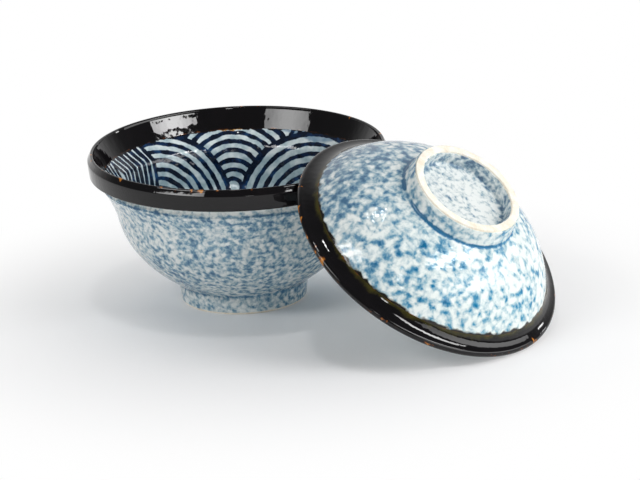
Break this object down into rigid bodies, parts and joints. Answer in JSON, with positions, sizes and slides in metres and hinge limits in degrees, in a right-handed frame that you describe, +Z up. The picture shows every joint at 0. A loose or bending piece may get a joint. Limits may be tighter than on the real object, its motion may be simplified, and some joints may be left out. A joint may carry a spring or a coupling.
{
  "type": "lidded bowl",
  "caption": "Footed round stoneware bowl with a flared wall and rolled dark rim, its domed lid with a ring knob leaning on the lip; mottled blue outside, wave pattern inside.",
  "frame": {"origin": "centre of the bowl's foot ring, in the plane where it rests on the table", "axes": "+Z up along the bowl's axis, +Y away from the viewer of the picture, +X to the viewer's right; the lid leans towards +X and -Y, 38 degrees round from +X"},
  "size_m": [0.2457, 0.2281, 0.1013],
  "materials": {
    "bare_clay": "fired stoneware, unglazed, matt",
    "mottled_blue_glaze": "glossy pale glaze sponged with cobalt blue",
    "iron_glaze": "glossy near-black iron glaze that breaks amber on its edges",
    "painted_glaze": "glossy clear glaze over cobalt brush lines on a blue-white ground",
    "plain_glaze": "glossy pale blue-grey glaze"
  },
  "bodies": {
    "bowl": {"bowl_clay_body": "bare_clay", "bowl_mottled_glaze": "mottled_blue_glaze", "bowl_iron_rim": "iron_glaze", "bowl_painted_glaze": "painted_glaze", "bowl_foot_recess_glaze": "plain_glaze"},
    "lid": {"lid_clay_body": "bare_clay", "lid_mottled_glaze": "mottled_blue_glaze", "lid_iron_rim": "iron_glaze", "lid_inner_glaze": "plain_glaze", "lid_knob_recess_glaze": "mottled_blue_glaze"}
  },
  "joints": [
    {"name": "lid_lift", "type": "slide", "parent": "bowl", "child": "lid", "axis": [0, 0, 1], "range_m": [0, 0.09]}
  ]
}
